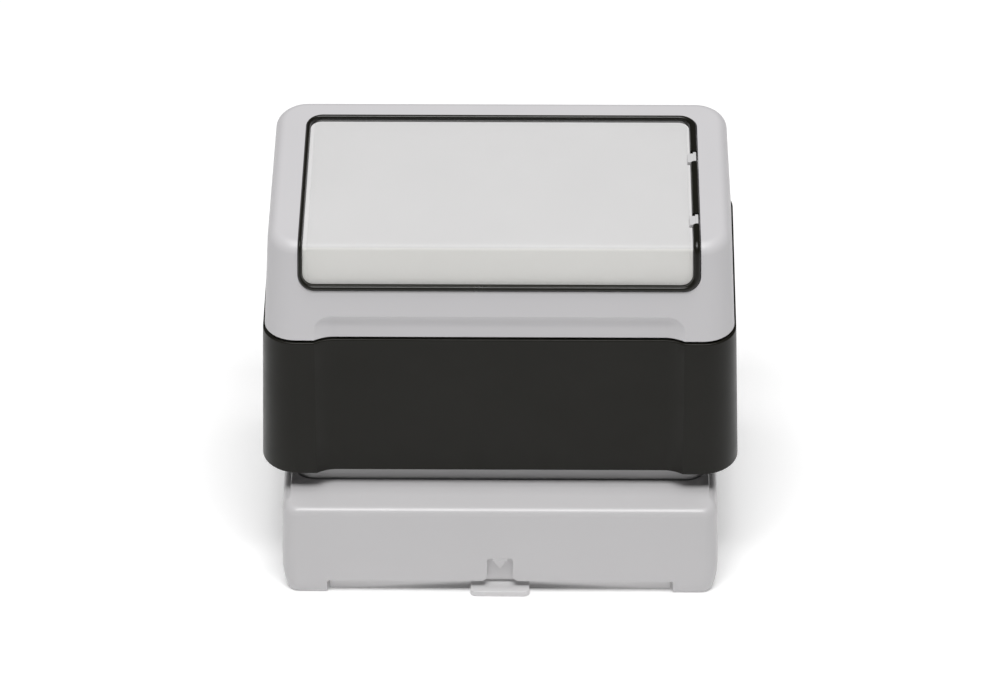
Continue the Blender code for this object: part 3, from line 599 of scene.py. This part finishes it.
def panel_point(x, s, h):
    """Point on the label panel: x across, s along the panel from its back, h above the surface."""
    x = x * (1 + FRAME_TAPER * (s - 20))
    along = min(s, flat_end)
    y = FRAME_BACK_Y - along * math.cos(TOP_TILT)
    z = COVER_TOP_Z - (COVER_BACK_Y - FRAME_BACK_Y) * math.tan(TOP_TILT) - along * math.sin(TOP_TILT)
    up_angle = TOP_TILT
    if s > flat_end:
        cy = y + EDGE_R * math.sin(TOP_TILT)
        cz = z - EDGE_R * math.cos(TOP_TILT)
        up_angle = TOP_TILT + (min(s, arc_end) - flat_end) / EDGE_R
        y = cy - EDGE_R * math.sin(up_angle)
        z = cz + EDGE_R * math.cos(up_angle)
    if s > arc_end:
        y -= (s - arc_end) * math.cos(up_angle)
        z -= (s - arc_end) * math.sin(up_angle)
    return (x, y - h * math.sin(up_angle), z + h * math.cos(up_angle))


def wrap_on_panel(bm):
    """Bend a mesh drawn flat in (x, s, h) onto the panel surface."""
    bmesh.ops.remove_doubles(bm, verts=bm.verts, dist=0.0005)
    for i in range(13):
        at = flat_end + (arc_end - flat_end) * i / 12
        bmesh.ops.bisect_plane(bm, geom=bm.verts[:] + bm.edges[:] + bm.faces[:], dist=0.0001,
                               plane_co=(0.0, at, 0.0), plane_no=(0.0, 1.0, 0.0))
    for v in bm.verts:
        v.co = panel_point(*v.co)
    return bm


def panel_outline(inset, n=12):
    """Rounded outline inset from the frame's outer edge, less on the left than on the right."""
    r = max(FRAME_R - inset, 0.5)
    left, right = -FRAME_HALF + inset * FRAME_LEFT, FRAME_HALF - inset * FRAME_RIGHT
    return rounded(left, right, inset, FRAME_LENGTH - inset, r, n)


pocket = panel_outline(-0.1)
cut(top_cover, wrap_on_panel(chain([(-POCKET_DEPTH, pocket), (2.5, pocket)])))
reshade(top_cover, 25)
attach(top_cover, "grip")
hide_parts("top_cover")

# black frame: a rounded bead standing on a narrow foot
bead = [(0.0, -1.05), (0.0, 0.02)]
half = FRAME_WIDE / 2
for i in range(1, 14):
    a = math.pi * i / 14
    bead.append((half - half * math.cos(a), 0.02 + (FRAME_RISE - 0.02) * math.sin(a)))
bead += [(FRAME_WIDE, 0.02), (FRAME_WIDE, -1.05)]
bm = wrap_on_panel(chain([(h, panel_outline(i)) for i, h in bead], closed=True))
label_frame = finish_mesh("label_frame_bead", bm, frame_black, 40)
for s in TAB_S:
    cut(label_frame, wrap_on_panel(block(FRAME_HALF - 2.0, FRAME_HALF + 1, s - STRAP_HALF - 0.2,
                                         s + STRAP_HALF + 0.2, -0.88, 2.0)))
reshade(label_frame, 40)
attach(label_frame, "grip")
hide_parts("label_frame")

sheet = panel_outline(FRAME_WIDE + 0.06)
id_label = finish_mesh("blank_label", wrap_on_panel(chain([(-1.0, sheet), (-0.58, sheet)])), paper_white, 25)
id_label.data.materials.append(paper_front_tint_and_painted_light)
# faces that face the front take the lighter tinted paper: painted light on the front slope, plus the tint
for face in id_label.data.polygons:
    if face.normal.y < -0.7:
        face.material_index = 1
reshade(id_label, 25)
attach(id_label, "grip")
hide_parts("id_label")

# clear cover with its two straps
left, right_edge = -FRAME_HALF + FRAME_WIDE + 0.5, FRAME_HALF - FRAME_WIDE - HINGE_ROOM
sheet_top, sheet_foot = FRAME_WIDE + GAP, FRAME_LENGTH - FRAME_WIDE - GAP
outline = rounded(left, right_edge, sheet_top, sheet_foot, 1.3, 10)
shrunk = rounded(left + 0.08, right_edge - 0.08, sheet_top + 0.08, sheet_foot - 0.08, 1.2, 10)
bm = wrap_on_panel(chain([(-0.28, shrunk), (-0.22, outline), (-0.02, outline), (0.04, shrunk)]))
label_cover = finish_mesh("clear_label_cover", bm, clear_sheet, 25)
reshade(label_cover, 25)
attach(label_cover, "label_cover")
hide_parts("label_cover")

# milky straps of the clear cover, stepped like two small knuckles, on the hinge line
straps = bmesh.new()
for s in TAB_S:
    low, high = s - STRAP_HALF, s + STRAP_HALF
    for x0, x1, s0, s1, h1 in ((right_edge - 0.05, HINGE_X - 0.02, low + 0.3, high, 0.04),
                               (HINGE_X - 0.1, HINGE_X + BARREL_R, low, high - 0.3, 0.1)):
        soft_block(x0, x1, s0, s1, HINGE_H - 0.3, h1, 0.08, 3, bm=straps)
cover_straps = finish_mesh("cover_straps", wrap_on_panel(straps), strap_clear, 25)
reshade(cover_straps, 25)
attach(cover_straps, "label_cover")

# ------------------------------------------------------------------ inner pieces kept from the CAD
finishes = {"die_holder": holder_grey, "die_frame": body_black, "die": die_sheet}
for number in range(1, 5):
    finishes[f"screw_{number}"] = steel_wire
for node, mat in finishes.items():
    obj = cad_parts[node]
    obj.data.materials.clear()
    obj.data.materials.append(mat)

# felt ink pad above the die
ink_pad = finish_mesh("felt_ink_pad", soft_block(-PAD_X, PAD_X, -PAD_Y, PAD_Y, *PAD_Z, 0.7, 4), ink_felt)
reshade(ink_pad, 40)
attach(ink_pad, "grip")
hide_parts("ink_pad")

# press springs, which in the stamp shorten as the handle goes down; here drawn at rest length between the
# skirt deck and the grip deck
spring_z0, spring_z1 = SKIRT_DECK[1] + GAP, GRIP_DECK[0] - GAP
for number, (x, y) in enumerate(at_four(SPRING_AT), 1):
    curve = bpy.data.curves.new("coil", "CURVE")
    curve.dimensions = "3D"
    curve.bevel_depth = WIRE_R * MM
    curve.bevel_resolution = 3
    curve.use_fill_caps = True
    line = curve.splines.new("POLY")
    steps = int(SPRING_TURNS * 28)
    line.points.add(steps)
    climb = spring_z1 - spring_z0 - 2 * WIRE_R
    for i in range(steps + 1):
        t = i / steps
        a = 2 * math.pi * SPRING_TURNS * t
        ends = 0.9 * min(t / 0.09, 1.0) + 0.9 * max((t - 0.91) / 0.09, 0.0)
        z = spring_z0 + WIRE_R + ends + (climb - 1.8) * min(max((t - 0.09) / 0.82, 0.0), 1.0)
        line.points[i].co = ((x + SPRING_R * math.cos(a)) * MM, (y + SPRING_R * math.sin(a)) * MM,
                             z * MM, 1.0)
    coil = bpy.data.objects.new("coil", curve)
    scene.collection.objects.link(coil)
    bpy.context.view_layer.update()
    mesh = bpy.data.meshes.new_from_object(coil.evaluated_get(bpy.context.evaluated_depsgraph_get()))
    mesh.name = f"press_coil_{number}"
    mesh.materials.clear()
    mesh.materials.append(steel_wire)
    mesh.shade_smooth()
    wire = bpy.data.objects.new(f"press_coil_{number}", mesh)
    scene.collection.objects.link(wire)
    bpy.data.objects.remove(coil, do_unlink=True)
    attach(wire, "skirt")
    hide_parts(f"spring_{number}")
    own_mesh(wire)

# ------------------------------------------------------------------ floor and light
FLOOR_ALBEDO, FLOOR_ROUGH, FLOOR_GLOW = 0.95, 0.9, 0.21
WORLD_STRENGTH = 0.08
floor_mesh = bpy.data.meshes.new("floor")
bm = bmesh.new()
bmesh.ops.create_grid(bm, x_segments=1, y_segments=1, size=3.0)
bm.to_mesh(floor_mesh)
bm.free()
floor = bpy.data.objects.new("floor", floor_mesh)
scene.collection.objects.link(floor)
floor_mat = bpy.data.materials.new("floor_white")
floor_mat.use_nodes = True
floor_shader = floor_mat.node_tree.nodes["Principled BSDF"]
floor_shader.inputs["Base Color"].default_value = gray(FLOOR_ALBEDO)
floor_shader.inputs["Roughness"].default_value = FLOOR_ROUGH
floor_shader.inputs["Emission Color"].default_value = (1, 1, 1, 1)
floor_shader.inputs["Emission Strength"].default_value = FLOOR_GLOW
floor_mesh.materials.append(floor_mat)

world = bpy.data.worlds.new("studio")
world.use_nodes = True
world.node_tree.nodes["Background"].inputs["Color"].default_value = (1, 1, 1, 1)
world.node_tree.nodes["Background"].inputs["Strength"].default_value = WORLD_STRENGTH
scene.world = world


def area_light(name, place, target, size, power):
    data = bpy.data.lights.new(name, "AREA")
    data.shape = "RECTANGLE"
    data.size, data.size_y = size
    data.energy = power
    lamp = bpy.data.objects.new(name, data)
    lamp.location = place
    lamp.rotation_euler = (Vector(target) - Vector(place)).to_track_quat("-Z", "Y").to_euler()
    scene.collection.objects.link(lamp)
    return lamp


area_light("key", (0.0, -0.3, 0.94), (0, 0, 0.02), (0.6, 0.26), 6.5)
area_light("top", (0.0, 0.06, 0.95), (0, 0, 0.02), (0.6, 0.25), 3.1)
scene.view_settings.view_transform = "Standard"
